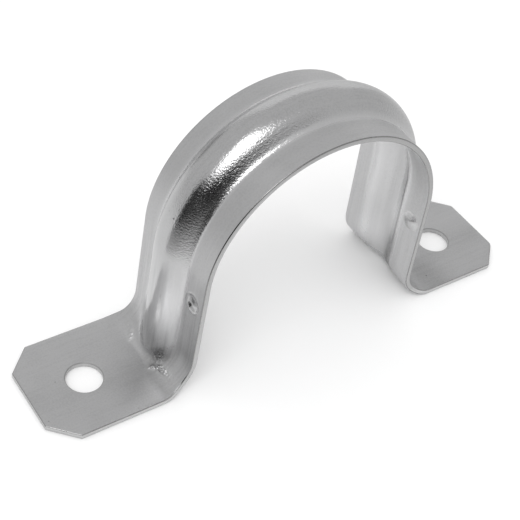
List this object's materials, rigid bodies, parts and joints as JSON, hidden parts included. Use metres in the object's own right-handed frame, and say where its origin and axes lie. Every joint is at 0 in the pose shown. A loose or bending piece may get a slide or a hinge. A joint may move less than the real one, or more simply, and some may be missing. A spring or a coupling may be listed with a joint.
{
  "type": "two-hole conduit strap",
  "caption": "Pressed steel saddle strap with a ribbed arch and a flat foot with a screw hole on each side, for fixing round conduit to a flat surface.",
  "frame": {"origin": "on the wall plane under the feet, midway between the two screw holes", "axes": "+X along the strap's length, +Y across its width (along the conduit), +Z away from the wall"},
  "size_m": [0.098, 0.0212, 0.0491],
  "materials": {
    "zinc_plated_steel": "zinc plated, semi-bright, faint mottle and draw marks"
  },
  "bodies": {
    "root": {"strap": "zinc_plated_steel"}
  },
  "joints": []
}
